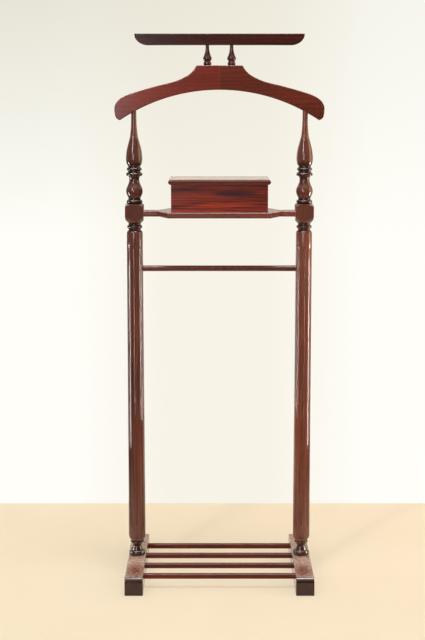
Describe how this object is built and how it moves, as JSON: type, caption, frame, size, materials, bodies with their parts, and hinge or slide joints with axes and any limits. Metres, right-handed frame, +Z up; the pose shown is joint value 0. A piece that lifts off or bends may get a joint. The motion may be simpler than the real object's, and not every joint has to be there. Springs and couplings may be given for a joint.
{
  "type": "clothes valet stand",
  "caption": "Free-standing wooden clothes stand: coat hanger and straight rail on turned fluted posts, lidded box on a shelf, trouser bar and a shoe rack of rods.",
  "frame": {"origin": "on the floor, midway between the two feet", "axes": "+Z up; +X to the right seen from the front, along the hanger; +Y to the back, along the feet"},
  "size_m": [0.4788, 0.346, 1.2681],
  "materials": {
    "lacquered_wood": "glossy red-brown lacquer over hardwood",
    "box_wood": "satin lacquer over red straight-grained hardwood",
    "rail_wood": "glossy dark lacquer over hardwood",
    "brass": "aged satin",
    "steel": "dull"
  },
  "bodies": {
    "stand": {"foot_left": "lacquered_wood", "foot_right": "lacquered_wood", "shoe_rod_1": "lacquered_wood", "shoe_rod_2": "lacquered_wood", "shoe_rod_3": "lacquered_wood", "shoe_rod_4": "lacquered_wood", "post_left": "lacquered_wood", "post_right": "lacquered_wood", "trouser_bar": "lacquered_wood", "hanger_left_half": "lacquered_wood", "hanger_right_half": "lacquered_wood", "hanger_dowel_lower": "lacquered_wood", "hanger_dowel_upper": "lacquered_wood", "rail_spindle_left": "lacquered_wood", "rail_spindle_right": "lacquered_wood", "shelf": "lacquered_wood", "top_rail": "rail_wood", "box_front": "box_wood", "box_back": "box_wood", "box_left_side": "box_wood", "box_right_side": "box_wood", "hinge_left_box_leaf": "brass", "hinge_left_pin": "brass", "hinge_left_box_screw_1": "brass", "hinge_left_box_screw_2": "brass", "foot_screw_left": "steel", "rail_pin_left": "steel", "hinge_right_box_leaf": "brass", "hinge_right_pin": "brass", "hinge_right_box_screw_1": "brass", "hinge_right_box_screw_2": "brass", "foot_screw_right": "steel", "rail_pin_right": "steel", "shelf_screw_1": "steel", "shelf_screw_2": "steel", "shelf_screw_3": "steel", "shelf_screw_4": "steel"},
    "lid": {"box_lid": "box_wood", "hinge_left_lid_leaf": "brass", "hinge_left_lid_screw_1": "brass", "hinge_left_lid_screw_2": "brass", "hinge_right_lid_leaf": "brass", "hinge_right_lid_screw_1": "brass", "hinge_right_lid_screw_2": "brass"}
  },
  "joints": [
    {"name": "lid_hinge", "type": "hinge", "parent": "stand", "child": "lid", "pos_m": [0, 0.063, 0.9302], "axis": [-1, 0, 0], "range_deg": [0, 105]}
  ]
}
